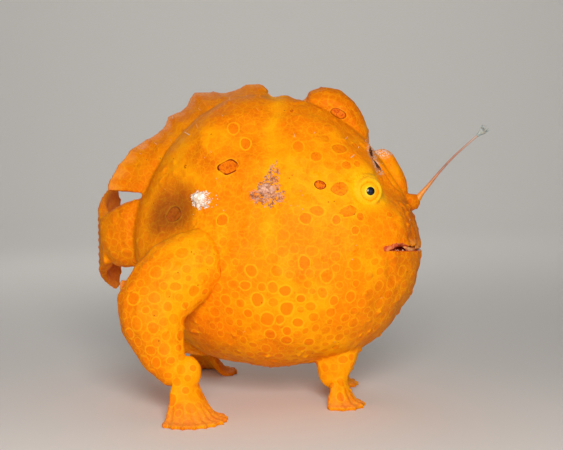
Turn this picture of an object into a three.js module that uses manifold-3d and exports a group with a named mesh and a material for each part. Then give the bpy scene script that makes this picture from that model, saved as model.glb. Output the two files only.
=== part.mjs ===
// A painted frogfish, life size, standing on its four lower fins as it does on the sea bed.
// Millimetres. +X points out of the mouth, +Y to the fish's left, +Z up, and the soles lie at z = 0.
import * as THREE from "three";
import { mergeVertices } from "three/addons/utils/BufferGeometryUtils.js";
import Module from "manifold-3d";

const wasm = await Module();
wasm.setup();

// Driving sizes
const gap = 0.3;
const weld = 0.004;
const bodyCentre = new THREE.Vector3(0, 0, 64);
const bodyHalfWidth = 34;
const bodyFullness = 2.15;
// Distance from the centre to the skin in the middle plane, every 22.5 degrees from the snout over the back.
const bodyOutline = [57, 52.6, 52, 52.8, 52.2, 50, 47.4, 48, 50.5, 50, 50.5, 49.5, 49, 51.5, 57, 58];
const widthPerForward = 0.0052;
const widthPerUp = -0.0026;
const bodyDetail = 13;
const rayFoot = 0.24;
const neckX = 12;
const soleLevel = 2;
const soleRise = 0.5;
const landing = 0.75;
const mouth = { frontX: 57, z: 59.3, fall: 0.1, slit: 1, cornerX: 42.5, halfAngle: 30, throat: [0.963, 0, 0.27] };

const colours = {
  skin: { color: 0xf59a0c, roughness: 0.6, metalness: 0 },
  fin: { color: 0xe88408, roughness: 0.6, metalness: 0 },
  stalk: { color: 0xb98a66, roughness: 0.6, metalness: 0 },
  bait: { color: 0x9aa695, roughness: 0.7, metalness: 0 },
  eye: { color: 0xffc414, roughness: 0.2, metalness: 0 },
};

const degrees = THREE.MathUtils.degToRad;
const mix = THREE.MathUtils.lerp;
const vector = (place) => new THREE.Vector3(...place);
const leftOf = (place) => [place[0], -place[1], place[2]];

// Smooth value at a place along a list, where the list goes round on itself or ends.
function smoothList(list, place, closed) {
  const first = Math.floor(place);
  const pick = (i) =>
    closed ? list[((i % list.length) + list.length) % list.length] : list[Math.min(Math.max(i, 0), list.length - 1)];
  const [a, b, c, d] = [first - 1, first, first + 1, first + 2].map(pick);
  const t = place - first;
  return b + 0.5 * t * (c - a + t * (2 * a - 5 * b + 4 * c - d + t * (3 * (b - c) + d - a)));
}

// Swellings and hollows of the body. Each has a middle on the skin, a reach and a height, and is mirrored to the left.
const swellings = [
  { name: "cheek", at: [36, -27, 66], reach: 12, height: 2.4 },
  { name: "upper jaw", at: [52, -15, 69], reach: 7, height: 2.0 },
  { name: "brow", at: [34, -23, 88], reach: 6, height: 1.6 },
  { name: "socket hollow", at: [46, -17, 82], reach: 5, height: -1.4 },
  { name: "lower jaw", at: [54, -12, 52], reach: 8, height: 2.2 },
  { name: "jaw crease", at: [41, -25, 50], reach: 4.5, height: -1.2 },
  { name: "belly", at: [4, -30, 36], reach: 18, height: 3.0 },
  { name: "neck valley", at: [-2, -20, 103], reach: 8, height: -2.6 },
  { name: "back hump", at: [-22, -16, 106], reach: 11, height: 2.0 },
  { name: "armpit", at: [-34, -22, 76], reach: 7, height: -4.5 },
];

function outlineRadius(angle) {
  const turns = (angle / (2 * Math.PI) + 1) % 1;
  return smoothList(bodyOutline, turns * bodyOutline.length, true);
}

function swell(point) {
  const outward = point.clone().sub(bodyCentre).normalize();
  for (const { at, reach, height } of swellings) {
    for (const place of [at, leftOf(at)]) {
      const away = point.distanceTo(vector(place));
      point.addScaledVector(outward, height * Math.exp(-0.5 * (away / reach) ** 2));
    }
  }
  return point;
}

// The skin of the body in a direction from its centre.
function bodyPoint(direction) {
  const angle = Math.atan2(direction.z, direction.x);
  const along = Math.hypot(direction.x, direction.z) / outlineRadius(angle);
  const across = Math.abs(direction.y) / bodyHalfWidth;
  const reach = (along ** bodyFullness + across ** bodyFullness) ** (-1 / bodyFullness);
  const point = direction.clone().multiplyScalar(reach);
  point.y *= 1 + widthPerForward * point.x + widthPerUp * point.z;
  return swell(point.add(bodyCentre));
}

// The skin of the right or left flank over a place of the middle plane.
function flankPoint(x, z, side) {
  const forward = x - bodyCentre.x;
  const up = z - bodyCentre.z;
  const share = Math.hypot(forward, up) / outlineRadius(Math.atan2(up, forward));
  const width = bodyHalfWidth * (1 - Math.min(share, 1) ** bodyFullness) ** (1 / bodyFullness);
  return swell(new THREE.Vector3(x, side * width * (1 + widthPerForward * forward + widthPerUp * up), z));
}

// Solids from closed geometries
function solidOf(geometry) {
  const bare = new THREE.BufferGeometry().setAttribute("position", geometry.getAttribute("position"));
  if (geometry.index) bare.setIndex(geometry.index);
  const merged = mergeVertices(bare, 1e-3);
  return new wasm.Manifold(
    new wasm.Mesh({
      numProp: 3,
      vertProperties: new Float32Array(merged.attributes.position.array),
      triVerts: new Uint32Array(merged.index.array),
    }),
  );
}

// The geometry of a solid. Points closer than the weld, left where cuts cross, become one point, and triangles that
// close up with them go.
function geometryOf(solid) {
  const mesh = solid.getMesh();
  const snapped = Array.from(mesh.vertProperties, (value) => Math.round(value / weld) * weld);
  const loose = new THREE.BufferGeometry()
    .setAttribute("position", new THREE.Float32BufferAttribute(snapped, 3))
    .setIndex(new THREE.BufferAttribute(mesh.triVerts, 1));
  const merged = mergeVertices(loose, weld / 4);
  const triangles = new Map();
  for (let i = 0; i < merged.index.count; i += 3) {
    const corners = [0, 1, 2].map((k) => merged.index.getX(i + k));
    if (new Set(corners).size < 3) continue;
    const key = [...corners].sort((a, b) => a - b).join();
    if (!triangles.delete(key)) triangles.set(key, corners);
  }
  return merged.setIndex([...triangles.values()].flat());
}

function largest(solid) {
  return solid.decompose().reduce((best, piece) => (piece.volume() > best.volume() ? piece : best));
}

// A block that fills the space on one side of a plane.
function halfSpace(place, normal) {
  const size = 400;
  const block = new THREE.BoxGeometry(size, size, size).translate(0, 0, size / 2);
  const turn = new THREE.Quaternion().setFromUnitVectors(new THREE.Vector3(0, 0, 1), vector(normal).normalize());
  return solidOf(block.applyQuaternion(turn).translate(...place));
}

// The whole body without its fins, grown along its normals.
function bodySolid(grow) {
  const ball = mergeVertices(
    new THREE.IcosahedronGeometry(1, bodyDetail).deleteAttribute("normal").deleteAttribute("uv"),
    1e-4,
  );
  const points = ball.attributes.position;
  for (let i = 0; i < points.count; i++) {
    const point = bodyPoint(new THREE.Vector3().fromBufferAttribute(points, i).normalize());
    points.setXYZ(i, ...point);
  }
  ball.computeVertexNormals();
  const normals = ball.attributes.normal;
  for (let i = 0; i < points.count; i++) {
    const point = new THREE.Vector3().fromBufferAttribute(points, i);
    point.addScaledVector(new THREE.Vector3().fromBufferAttribute(normals, i), grow);
    points.setXYZ(i, ...point);
  }
  return solidOf(ball);
}

// A limb of flesh with round ends: rings of the given half sizes [across, along the other way] on a smooth path.
function limbSolid({ path, sizes, sides = 12, steps = 12, across = [0, 1, 0], blunt = 6 }, grow = 0) {
  const curve = new THREE.CatmullRomCurve3(path.map(vector), false, "centripetal");
  const positions = [];
  const indices = [];
  const addPoint = (point) => positions.push(...point) / 3 - 1;
  const ringAt = (k) => {
    const w = 0.5 - 0.5 * Math.cos((Math.PI * k) / steps);
    const along = curve.getTangent(w);
    const one = vector(across).addScaledVector(along, -vector(across).dot(along)).normalize();
    const other = new THREE.Vector3().crossVectors(along, one);
    const place = w * (sizes.length - 1);
    const round = Math.sqrt(Math.max(0, 1 - Math.abs(2 * w - 1) ** blunt));
    const a = smoothList(sizes.map((size) => size[0]), place) * round + grow;
    const b = smoothList(sizes.map((size) => size[1]), place) * round + grow;
    const ring = [];
    for (let i = 0; i < sides; i++) {
      const turn = (2 * Math.PI * i) / sides;
      const point = curve.getPoint(w);
      point.addScaledVector(one, a * Math.cos(turn)).addScaledVector(other, b * Math.sin(turn));
      ring.push(addPoint(point));
    }
    return ring;
  };
  const start = addPoint(curve.getPoint(0).addScaledVector(curve.getTangent(0), -grow));
  const rings = [];
  for (let k = 1; k < steps; k++) rings.push(ringAt(k));
  const end = addPoint(curve.getPoint(1).addScaledVector(curve.getTangent(1), grow));
  for (let i = 0; i < sides; i++) {
    const next = (i + 1) % sides;
    indices.push(start, rings[0][next], rings[0][i]);
    indices.push(end, rings.at(-1)[i], rings.at(-1)[next]);
    for (let k = 0; k + 1 < rings.length; k++) {
      const [low, high] = [rings[k], rings[k + 1]];
      indices.push(low[i], low[next], high[i], high[i], low[next], high[next]);
    }
  }
  const geometry = new THREE.BufferGeometry();
  geometry.setAttribute("position", new THREE.Float32BufferAttribute(positions, 3)).setIndex(indices);
  return solidOf(geometry);
}

// How far a place across a fin is on a ray: 1 in its middle, 0 between two rays.
const rayShare = (u, rays) => 0.5 - 0.5 * Math.cos(2 * Math.PI * u * rays);

// Columns across a fin: the crest of each ray and the two feet of its ridge.
function finColumns(rays) {
  const columns = [{ u: 0, crest: false }];
  for (let ray = 0; ray < rays; ray++) {
    for (const offset of [-rayFoot, 0, rayFoot]) columns.push({ u: (ray + 0.5 + offset) / rays, crest: offset === 0 });
  }
  return [...columns, { u: 1, crest: false }];
}

// A fin: a sheet with its rays raised on both faces. point(u, s) runs across the rays and from root to margin.
function finSolid(form) {
  const { rays, point, rootThickness, edgeThickness, rayHeight, notch, rows = 6, thinning = 2, lowest = 0 } = form;
  const across = finColumns(rays);
  const columns = across.length - 1;
  const positions = [];
  const place = (u, s) => point(u, s * (1 - notch * (1 - rayShare(u, rays)) * s));
  const step = 0.01;
  const face = [];
  for (const side of [1, -1]) {
    const grid = [];
    for (let row = 0; row <= rows; row++) {
      for (const { u, crest } of across) {
        const s = row / rows;
        const alongU = point(Math.min(u + step, 1), s).sub(point(Math.max(u - step, 0), s));
        const alongS = point(u, Math.min(s + step, 1)).sub(point(u, Math.max(s - step, 0)));
        const normal = new THREE.Vector3().crossVectors(alongU, alongS).normalize();
        const flesh = mix(edgeThickness, rootThickness, (1 - s) ** thinning);
        const ray = crest ? rayHeight * Math.min(1, 3 * (1 - s) + 0.35) : 0;
        const skin = place(u, s).addScaledVector(normal, side * (flesh / 2 + ray));
        positions.push(skin.x, skin.y, Math.max(skin.z, lowest));
        grid.push(positions.length / 3 - 1);
      }
    }
    face.push(grid);
  }
  const indices = [];
  const at = (side, row, column) => face[side][row * (columns + 1) + column];
  const quad = (a, b, c, d) => indices.push(a, b, c, a, c, d);
  for (let row = 0; row < rows; row++) {
    for (let column = 0; column < columns; column++) {
      const corners = (side) => [
        at(side, row, column),
        at(side, row, column + 1),
        at(side, row + 1, column + 1),
        at(side, row + 1, column),
      ];
      const [a, b, c, d] = corners(0);
      const [e, f, g, h] = corners(1);
      indices.push(a, b, c, a, c, d, e, g, f, e, h, g);
    }
    quad(at(0, row, 0), at(0, row + 1, 0), at(1, row + 1, 0), at(1, row, 0));
    quad(at(1, row, columns), at(1, row + 1, columns), at(0, row + 1, columns), at(0, row, columns));
  }
  for (let column = 0; column < columns; column++) {
    quad(at(1, 0, column), at(1, 0, column + 1), at(0, 0, column + 1), at(0, 0, column));
    quad(at(0, rows, column), at(0, rows, column + 1), at(1, rows, column + 1), at(1, rows, column));
  }
  const geometry = new THREE.BufferGeometry();
  geometry.setAttribute("position", new THREE.Float32BufferAttribute(positions, 3)).setIndex(indices);
  const solid = solidOf(geometry);
  if (solid.volume() > 0) return solid;
  geometry.setIndex(indices.map((_, i) => indices[i - (i % 3) + (2 - (i % 3))]));
  return solidOf(geometry);
}

// The body and what grows from it
const body = bodySolid(0);
const bodyClearance = bodySolid(gap);
const offBody = (solid) => largest(solid.subtract(bodyClearance));

// Eyes
const eye = { x: 35.7, z: 80.5, axis: [0.25, 0.12], radius: 5, stands: 2.5, lidRadius: 6.4, lidSunk: 1.8, rim: 0.8 };
const rightLeft = [
  { name: "right", side: -1 },
  { name: "left", side: 1 },
];
const mirrored = (solid, side) => (side < 0 ? solid : solid.scale([1, -1, 1]));
const ball = (radius, place, detail) => solidOf(new THREE.IcosahedronGeometry(radius, detail).translate(...place));

function eyePlace(side) {
  const skin = flankPoint(eye.x, eye.z, side);
  const outward = new THREE.Vector3(eye.axis[0], side, eye.axis[1]).normalize();
  return { outward, middle: skin.clone().addScaledVector(outward, eye.stands - eye.radius) };
}

function ringSolid(place, outward, radius, tube, around = 24, section = 6) {
  const ring = new THREE.TorusGeometry(radius, tube, section, around);
  const turn = new THREE.Quaternion().setFromUnitVectors(new THREE.Vector3(0, 0, 1), outward);
  return solidOf(ring.applyQuaternion(turn).translate(...place));
}

// The lid is a ball of skin sunk a little behind the eye, with a rim where the eye comes out of it.
function eyeLid(side) {
  const { outward, middle } = eyePlace(side);
  const ahead = (eye.lidRadius ** 2 - eye.radius ** 2 - eye.lidSunk ** 2) / (2 * eye.lidSunk);
  const rimRadius = Math.sqrt(eye.radius ** 2 - ahead ** 2) + eye.rim / 2;
  const rim = ringSolid(middle.clone().addScaledVector(outward, ahead), outward, rimRadius, eye.rim);
  return ball(eye.lidRadius, middle.clone().addScaledVector(outward, -eye.lidSunk), 3).add(rim);
}

// The middle of the mouth's slit falls a little towards the front. Lips follow it round the head.
const mouthLevel = (x) => mouth.z + mouth.fall * (mouth.frontX - x);
function lip(height, stands, thickness) {
  const path = [];
  for (let k = -4; k <= 4; k++) {
    const angle = degrees((mouth.halfAngle * k) / 4);
    const direction = new THREE.Vector3(Math.cos(angle), Math.sin(angle), 0);
    const out = bodyPoint(direction.clone());
    direction.z = (mouthLevel(out.x) + height - bodyCentre.z) / out.distanceTo(bodyCentre);
    const point = bodyPoint(direction.normalize());
    const reach = stands * Math.cos((Math.PI * k) / 10);
    path.push([...point.addScaledVector(new THREE.Vector3(Math.cos(angle), Math.sin(angle), 0), reach)]);
  }
  const sizes = path.map((_, i) => {
    const half = thickness * mix(0.55, 1, Math.sin((Math.PI * i) / (path.length - 1)));
    return [half, half];
  });
  return limbSolid({ path, sizes, sides: 8, steps: 20, across: [0, 0, 1], blunt: 14 });
}

const upperLip = lip(2.3, -2, 2.2);
const lowerLip = lip(-2.6, -2.1, 2.5);

// Nostrils: a short tube on each side of the snout
const nostril = { x: 51.5, z: 74.5, radius: 1, wall: 0.6 };
function nostrilRing(side) {
  const skin = flankPoint(nostril.x, nostril.z, side);
  const outward = new THREE.Vector3(0.75, side * 0.6, 0.25).normalize();
  return ringSolid(skin.addScaledVector(outward, 0.1), outward, nostril.radius, nostril.wall, 12, 5);
}

// Gill openings: a small raised hole behind and under each arm
const gill = { x: -37, z: 48, radius: 2.1, wall: 0.9 };
function gillRing(side) {
  const skin = flankPoint(gill.x, gill.z, side);
  const outward = new THREE.Vector3(-0.5, side, -0.35).normalize();
  return ringSolid(skin, outward, gill.radius, gill.wall, 12, 5);
}

// The lower jaw fills this wedge between the slit of the mouth and the throat, and the head leaves room for it.
const jawWedge = (slitSide, throatSide) =>
  halfSpace([mouth.frontX, 0, mouth.z + (slitSide * mouth.slit) / 2], [-mouth.fall, 0, -1]).intersect(
    halfSpace([mouth.cornerX + (throatSide * gap) / 2, 0, mouth.z], mouth.throat),
  );

// The mouth gapes under an arch of the upper lip in front of each corner.
const gape = {
  path: [[45.4, -27, 60.6], [48.6, -23.5, 61.1], [52, -18.5, 60.7], [55, -12, 60]],
  sizes: [[1.6, 0.5], [3.2, 1.9], [3.2, 1.5], [2, 0.6]],
  across: [0.7, -0.7, 0],
  sides: 10,
  steps: 10,
};

let head = body.intersect(halfSpace([neckX + gap / 2, 0, 0], [1, 0, 0])).add(upperLip);
for (const { side } of rightLeft) head = head.add(eyeLid(side)).add(nostrilRing(side));
head = head.subtract(jawWedge(1, -1));
for (const { side } of rightLeft) {
  head = head.subtract(ball(eye.radius + gap, eyePlace(side).middle, 3)).subtract(mirrored(limbSolid(gape), side));
}

const lowerJaw = body.add(lowerLip).intersect(jawWedge(-1, 1));

let torso = body.intersect(halfSpace([neckX - gap / 2, 0, 0], [-1, 0, 0]));
for (const { side } of rightLeft) torso = torso.add(gillRing(side));

// Dorsal and anal fins stand on the middle line of the trunk. Angles are measured at the body's centre.
function edgeFin({ from, to, margin, sweep, lean, sink, ...form }) {
  return finSolid({
    ...form,
    point: (u, s) => {
      const angle = degrees(mix(from, to, u) + sweep * s);
      const root = outlineRadius(degrees(mix(from, to, u))) - sink;
      const top = smoothList(margin, u * (margin.length - 1));
      const reach = mix(root, top, s);
      return new THREE.Vector3(
        bodyCentre.x + reach * Math.cos(angle),
        smoothList(lean, u * (lean.length - 1)) * s ** 1.8,
        bodyCentre.z + reach * Math.sin(angle),
      );
    },
  });
}

const dorsalFin = edgeFin({
  rays: 13,
  from: 77,
  to: 160,
  sweep: 5,
  sink: 6,
  margin: [52, 53.2, 57, 56, 55.3, 57.7, 59.8, 56.5, 57.6, 55.8, 57.2, 59.8, 61.1, 62.4, 62.9],
  lean: [4, 10, 13, 14, 12, 9, 6, 4],
  rootThickness: 11,
  edgeThickness: 1.3,
  rayHeight: 0.45,
  notch: 0.045,
  rows: 5,
  thinning: 1.6,
});

const analFin = edgeFin({
  rays: 7,
  from: 250,
  to: 204,
  sweep: -6,
  sink: 6,
  margin: [52, 57.5, 61.5, 61.5, 59],
  lean: [1, 3, 4, 4, 3],
  rootThickness: 10,
  edgeThickness: 1.3,
  rayHeight: 0.45,
  notch: 0.06,
  rows: 5,
  thinning: 1.6,
});

// Tail: a short stem that bends to the fish's left, and the fin that curls round with it
const stem = {
  path: [[-38, 0, 65], [-50, 0.5, 63], [-57, 3, 61.5], [-61, 8, 60.5]],
  sizes: [[7, 15], [6.5, 13], [5, 11], [3.5, 10]],
  across: [0, 1, 0],
  sides: 16,
  steps: 10,
  blunt: 8,
};
const tail = { from: [-59.5, 4.5, 60.5], heading: 128, turn: -80, length: 31, halfRoot: 8, spread: 27 };
const tailFin = finSolid({
  rays: 9,
  point: (u, s) => {
    const fan = degrees(tail.spread * (2 * u - 1));
    const ahead = s * tail.length * Math.cos(fan);
    const start = degrees(tail.heading);
    const bend = degrees(tail.turn) / tail.length;
    const now = start + bend * ahead;
    return new THREE.Vector3(
      tail.from[0] + (Math.sin(now) - Math.sin(start)) / bend,
      tail.from[1] - (Math.cos(now) - Math.cos(start)) / bend,
      tail.from[2] + tail.halfRoot * (2 * u - 1) + s * tail.length * Math.sin(fan),
    );
  },
  rootThickness: 5,
  edgeThickness: 1,
  rayHeight: 0.45,
  notch: 0.06,
  rows: 6,
});

// Arms: each bends at an elbow behind the flank and ends in a hand of ten rays on the floor.
const arm = {
  path: [[-14, -22, 58], [-29, -29, 53], [-39, -33, 41], [-36, -36, 27], [-29, -38, 14]],
  sizes: [[10, 12], [9.5, 13], [9, 12.5], [6.8, 9], [4.4, 5.4]],
  across: [0, 1, 0],
  sides: 14,
  steps: 14,
  blunt: 8,
};
const hand = { wrist: [-29, -36.5], rootHeight: 13, ahead: -52, spread: 62, inner: 3.6, outer: 19, rays: 10 };
const leg = {
  path: [[29, -11, 34], [27, -12.5, 24], [25.5, -14.5, 15], [26, -16.5, 8]],
  sizes: [[8, 10], [6.5, 9], [4.6, 6.5], [3.2, 4.5]],
  across: [0, 1, 0],
  sides: 12,
  steps: 10,
  blunt: 8,
};
const foot = { wrist: [25.5, -16], rootHeight: 8, ahead: -42, spread: 66, inner: 2.8, outer: 12.5, rays: 6 };

// A hand or foot: rays that fan out from the wrist and droop to the floor.
function palmSolid({ wrist, rootHeight, ahead, spread, inner, outer, rays }, form) {
  return finSolid({
    rays,
    ...form,
    point: (u, s) => {
      const angle = degrees(ahead + spread * (2 * u - 1));
      const reach = mix(inner, outer * (1 - 0.22 * (2 * u - 1) ** 2), s);
      const height = soleLevel + soleRise + rootHeight * Math.max(0, 1 - s / landing) ** 1.7;
      return new THREE.Vector3(wrist[0] + reach * Math.cos(angle), wrist[1] + reach * Math.sin(angle), height);
    },
    lowest: soleLevel,
  });
}

const handForm = { rootThickness: 3.4, edgeThickness: 1.1, rayHeight: 0.5, notch: 0.2, rows: 5 };
const footForm = { rootThickness: 3, edgeThickness: 1.2, rayHeight: 0.6, notch: 0.24, rows: 4 };

const armSolid = offBody(limbSolid(arm));
const handSolid = largest(palmSolid(hand, handForm).subtract(limbSolid(arm, gap)));
const legSolid = offBody(limbSolid(leg)).add(palmSolid(foot, footForm));

// Spines on the head
const thirdSpine = {
  path: [[38.8, 0, 90.3], [33, 0, 101.4], [26.2, 0, 109.3], [19.4, 0, 111.5], [14.5, 0, 108.5]],
  sizes: [[4.4, 3.2], [8, 6.4], [9.5, 8.5], [8, 7.2], [4.5, 4.5]],
  across: [0, 1, 0],
  sides: 14,
  steps: 13,
  blunt: 6,
};
const secondSpine = {
  path: [[51, 0, 74], [50.1, 0, 80.2], [47.9, 0, 86.7], [45.5, 0, 91.8], [42.6, 0, 95.9]],
  sizes: [[3.4, 3.4], [3.8, 3.6], [3.9, 3.7], [3.4, 3.4], [2.4, 2.6]],
  across: [0, 1, 0],
  sides: 12,
  steps: 12,
  blunt: 6,
};
const rodBase = {
  path: [[51.5, 0, 74.5], [55.5, 0, 76.3], [58.5, 0, 77.2]],
  sizes: [[2.6, 2.8], [2.2, 2.4], [1.5, 1.6]],
  across: [0, 1, 0],
  sides: 10,
  steps: 8,
  blunt: 8,
};
const rod = {
  path: [[57.3, 0, 76.6], [61.6, 0, 81.7], [66.5, 0, 87.8], [71.4, 0, 93.1], [76.4, 0, 97.7], [80.2, 0, 101.1]],
  sizes: [[1.1, 1.3], [0.9, 1], [0.55, 0.6], [0.42, 0.45], [0.4, 0.42], [0.42, 0.45]],
  across: [0, 1, 0],
  sides: 8,
  steps: 14,
  blunt: 20,
};
const bait = { root: [80.5, 0, 101.3], length: 5.2, threads: 6 };

const thirdSolid = offBody(limbSolid(thirdSpine));
const secondSolid = offBody(limbSolid(secondSpine).subtract(limbSolid(thirdSpine, gap)));
const rodSolid = largest(
  limbSolid(rodBase).add(limbSolid(rod)).subtract(bodyClearance).subtract(limbSolid(secondSpine, gap)),
);

function baitSolid() {
  const start = vector(bait.root);
  const ahead = new THREE.Vector3(0.8, 0, 0.6);
  const up = new THREE.Vector3(-0.6, 0, 0.8);
  const out = (share, y, rise) =>
    start
      .clone()
      .addScaledVector(ahead, share * bait.length)
      .addScaledVector(up, rise)
      .add(new THREE.Vector3(0, y, 0))
      .toArray();
  let solid = limbSolid({
    path: [out(-0.12, 0, 0), out(0.2, 0, 0), out(0.6, 0, 0)],
    sizes: [[0.5, 0.5], [0.95, 1.1], [0.8, 1]],
    sides: 8,
    steps: 6,
  });
  for (let k = 0; k < bait.threads; k++) {
    const turn = (2 * Math.PI * k) / bait.threads;
    const [y, rise] = [Math.cos(turn), Math.sin(turn)];
    const reach = 0.95 + 0.12 * Math.cos(2.4 * k);
    solid = solid.add(
      limbSolid({
        path: [out(0.3, 0.3 * y, 0.3 * rise), out(0.62, 0.9 * y, 0.9 * rise), out(reach, 1.5 * y, 1.7 * rise)],
        sizes: [[0.4, 0.4], [0.36, 0.36], [0.22, 0.22]],
        across: [0.3, 1, 0.2],
        sides: 5,
        steps: 4,
      }),
    );
  }
  return largest(solid.subtract(limbSolid(rod, gap)));
}

// The model
const fish = new THREE.Group();
function addNode(name, solid, colour) {
  const mesh = new THREE.Mesh(geometryOf(largest(solid)), new THREE.MeshStandardMaterial(colours[colour]));
  mesh.name = name;
  fish.add(mesh);
}

addNode("head", head, "skin");
addNode("lower_jaw", lowerJaw, "skin");
addNode("torso", torso, "skin");
const stemSolid = offBody(limbSolid(stem));
addNode("tail_stem", stemSolid, "skin");
addNode("tail_fin", tailFin.subtract(limbSolid(stem, gap)).subtract(bodyClearance), "fin");
addNode("dorsal_fin", offBody(dorsalFin.subtract(limbSolid(stem, gap)).subtract(limbSolid(thirdSpine, gap))), "fin");
addNode("anal_fin", offBody(analFin.subtract(limbSolid(stem, gap))), "fin");
addNode("dorsal_spine_third", thirdSolid, "skin");
addNode("dorsal_spine_second", secondSolid, "skin");
addNode("lure_rod", rodSolid, "stalk");
addNode("lure_bait", baitSolid(), "bait");
for (const { name, side } of rightLeft) {
  addNode("eye_" + name, ball(eye.radius, eyePlace(side).middle, 3), "eye");
  addNode("pectoral_arm_" + name, mirrored(armSolid, side), "skin");
  addNode("pectoral_fin_" + name, mirrored(handSolid, side), "fin");
  addNode("pelvic_fin_" + name, mirrored(legSolid, side), "fin");
}

// The origin is under the middle of the whole model, at the level of the soles.
const bounds = new THREE.Box3().setFromObject(fish);
const middle = bounds.getCenter(new THREE.Vector3());
fish.position.set(-middle.x, -middle.y, -bounds.min.z);

export default fish;
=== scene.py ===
import math
import random

import bpy
import numpy as np
from mathutils import Matrix, Vector, noise
from mathutils.bvhtree import BVHTree


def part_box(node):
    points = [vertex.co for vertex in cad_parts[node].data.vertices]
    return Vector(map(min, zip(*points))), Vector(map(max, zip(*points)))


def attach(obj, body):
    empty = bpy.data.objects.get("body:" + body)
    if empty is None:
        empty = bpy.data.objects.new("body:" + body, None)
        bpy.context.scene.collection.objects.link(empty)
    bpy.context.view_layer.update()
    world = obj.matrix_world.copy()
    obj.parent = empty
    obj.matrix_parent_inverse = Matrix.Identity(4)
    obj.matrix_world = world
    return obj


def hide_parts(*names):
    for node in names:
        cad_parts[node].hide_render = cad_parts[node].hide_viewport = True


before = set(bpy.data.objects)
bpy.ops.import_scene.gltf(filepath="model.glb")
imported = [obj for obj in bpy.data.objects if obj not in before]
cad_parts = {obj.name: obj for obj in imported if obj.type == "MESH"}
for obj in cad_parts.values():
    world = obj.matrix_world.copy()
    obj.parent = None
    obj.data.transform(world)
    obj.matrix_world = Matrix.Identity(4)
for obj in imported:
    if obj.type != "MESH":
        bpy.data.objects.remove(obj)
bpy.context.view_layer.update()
random.seed(11)
dice = np.random.default_rng(11)
mm = 0.001

# Places are given in millimetres: forward of the body's middle, to the fish's left, and up from the floor.
neckForward = 11.85
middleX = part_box("torso")[1].x / mm - neckForward


def place(x, y, z):
    return Vector((middleX + x, y, z)) * mm


def inBody(points):  # metres to body millimetres
    return np.asarray(points) / mm - np.array([middleX, 0, 0])


# Camera and light come first

cameraSet = {
    "lookAt": (6.3, 0, 65.3),
    "distance": 0.42,
    "elevation": 4,
    "frameWidth": 0.2139,
    "sensor": 36,
}


def makeCamera():
    tilt = math.radians(cameraSet["elevation"])
    back = Vector((0, -math.cos(tilt), math.sin(tilt)))
    spot = place(*cameraSet["lookAt"]) + back * cameraSet["distance"]
    bpy.ops.object.camera_add(location=spot)
    camera = bpy.context.object
    camera.name = "camera"
    camera.rotation_euler = (-back).to_track_quat("-Z", "Y").to_euler()
    camera.data.sensor_width = cameraSet["sensor"]
    camera.data.lens = cameraSet["sensor"] * cameraSet["distance"] / cameraSet["frameWidth"]
    camera.data.clip_start = 0.01
    bpy.context.scene.camera = camera
    print("camera set")


lightSet = {
    "key": {"at": (30, -450, 215), "aim": (2, 0, 58), "watts": 2.0, "size": 0.16, "colour": (1.0, 0.97, 0.93)},
    "fill": {"at": (-420, -260, 160), "aim": (0, 0, 58), "watts": 0.2, "size": 0.4, "colour": (1.0, 0.96, 0.92)},
    "rim": {"at": (-160, 420, 380), "aim": (0, 0, 58), "watts": 0.4, "size": 0.35, "colour": (1.0, 0.98, 0.95)},
    "backdrop": {"at": (0, 700, 760), "aim": (0, 1400, 100), "watts": 3.2, "size": 0.8, "colour": (1.0, 0.99, 0.97)},
}
stageSet = {"floorHalf": 1.5, "backRise": 1.6, "bend": 0.6, "colour": (0.78, 0.76, 0.73, 1), "sky": 0.16}


def makeLights():
    for name, light in lightSet.items():
        bpy.ops.object.light_add(type="AREA", location=place(*light["at"]))
        lamp = bpy.context.object
        lamp.name = name + "_light"
        lamp.rotation_euler = (place(*light["aim"]) - lamp.location).to_track_quat("-Z", "Y").to_euler()
        lamp.data.energy = light["watts"]
        lamp.data.size = light["size"]
        lamp.data.color = light["colour"]
    world = bpy.data.worlds.new("studio")
    world.use_nodes = True
    world.node_tree.nodes["Background"].inputs["Color"].default_value = (0.93, 0.95, 1.0, 1)
    world.node_tree.nodes["Background"].inputs["Strength"].default_value = stageSet["sky"]
    bpy.context.scene.world = world
    bpy.context.scene.view_settings.view_transform = "Standard"
    print("lights set")


# Small tools


def deselectAll():
    if bpy.context.object and bpy.context.object.mode != "OBJECT":
        bpy.ops.object.mode_set(mode="OBJECT")
    bpy.ops.object.select_all(action="DESELECT")


def pickOnly(piece):
    deselectAll()
    piece.select_set(True)
    bpy.context.view_layer.objects.active = piece


def applyModifier(piece, kind, **settings):
    pickOnly(piece)
    modifier = piece.modifiers.new(kind.lower(), kind)
    for key, value in settings.items():
        setattr(modifier, key, value)
    bpy.ops.object.modifier_apply(modifier=modifier.name)


def joinPieces(parts, name):
    deselectAll()
    for part in parts:
        part.select_set(True)
    bpy.context.view_layer.objects.active = parts[0]
    if len(parts) > 1:
        bpy.ops.object.join()
    whole = bpy.context.object
    whole.name = name
    whole.data.name = name
    return whole


def settle(piece):  # puts the piece's place into its mesh
    pickOnly(piece)
    bpy.ops.object.transform_apply(location=True, rotation=True, scale=True)
    return piece


def pointsOf(piece):
    points = np.empty(len(piece.data.vertices) * 3, np.float32)
    piece.data.vertices.foreach_get("co", points)
    return points.reshape(-1, 3).astype(float)


def setPoints(piece, points):
    piece.data.vertices.foreach_set("co", np.asarray(points, np.float32).ravel())
    piece.data.update()


def normalsOf(piece):
    normals = np.empty(len(piece.data.vertices) * 3, np.float32)
    piece.data.vertex_normals.foreach_get("vector", normals)
    return normals.reshape(-1, 3).astype(float)


def toRight(body):  # the same places on the right side
    return body * [1, 0, 1] - np.abs(body) * [0, 1, 0]


def noiseAt(points, size, seed=0):  # soft noise about 0, at a feature size in millimetres
    offset = Vector((seed * 7.3, seed * 3.1, seed * 5.7))
    return np.array([noise.noise(Vector(p) / size + offset) for p in points])


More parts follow.
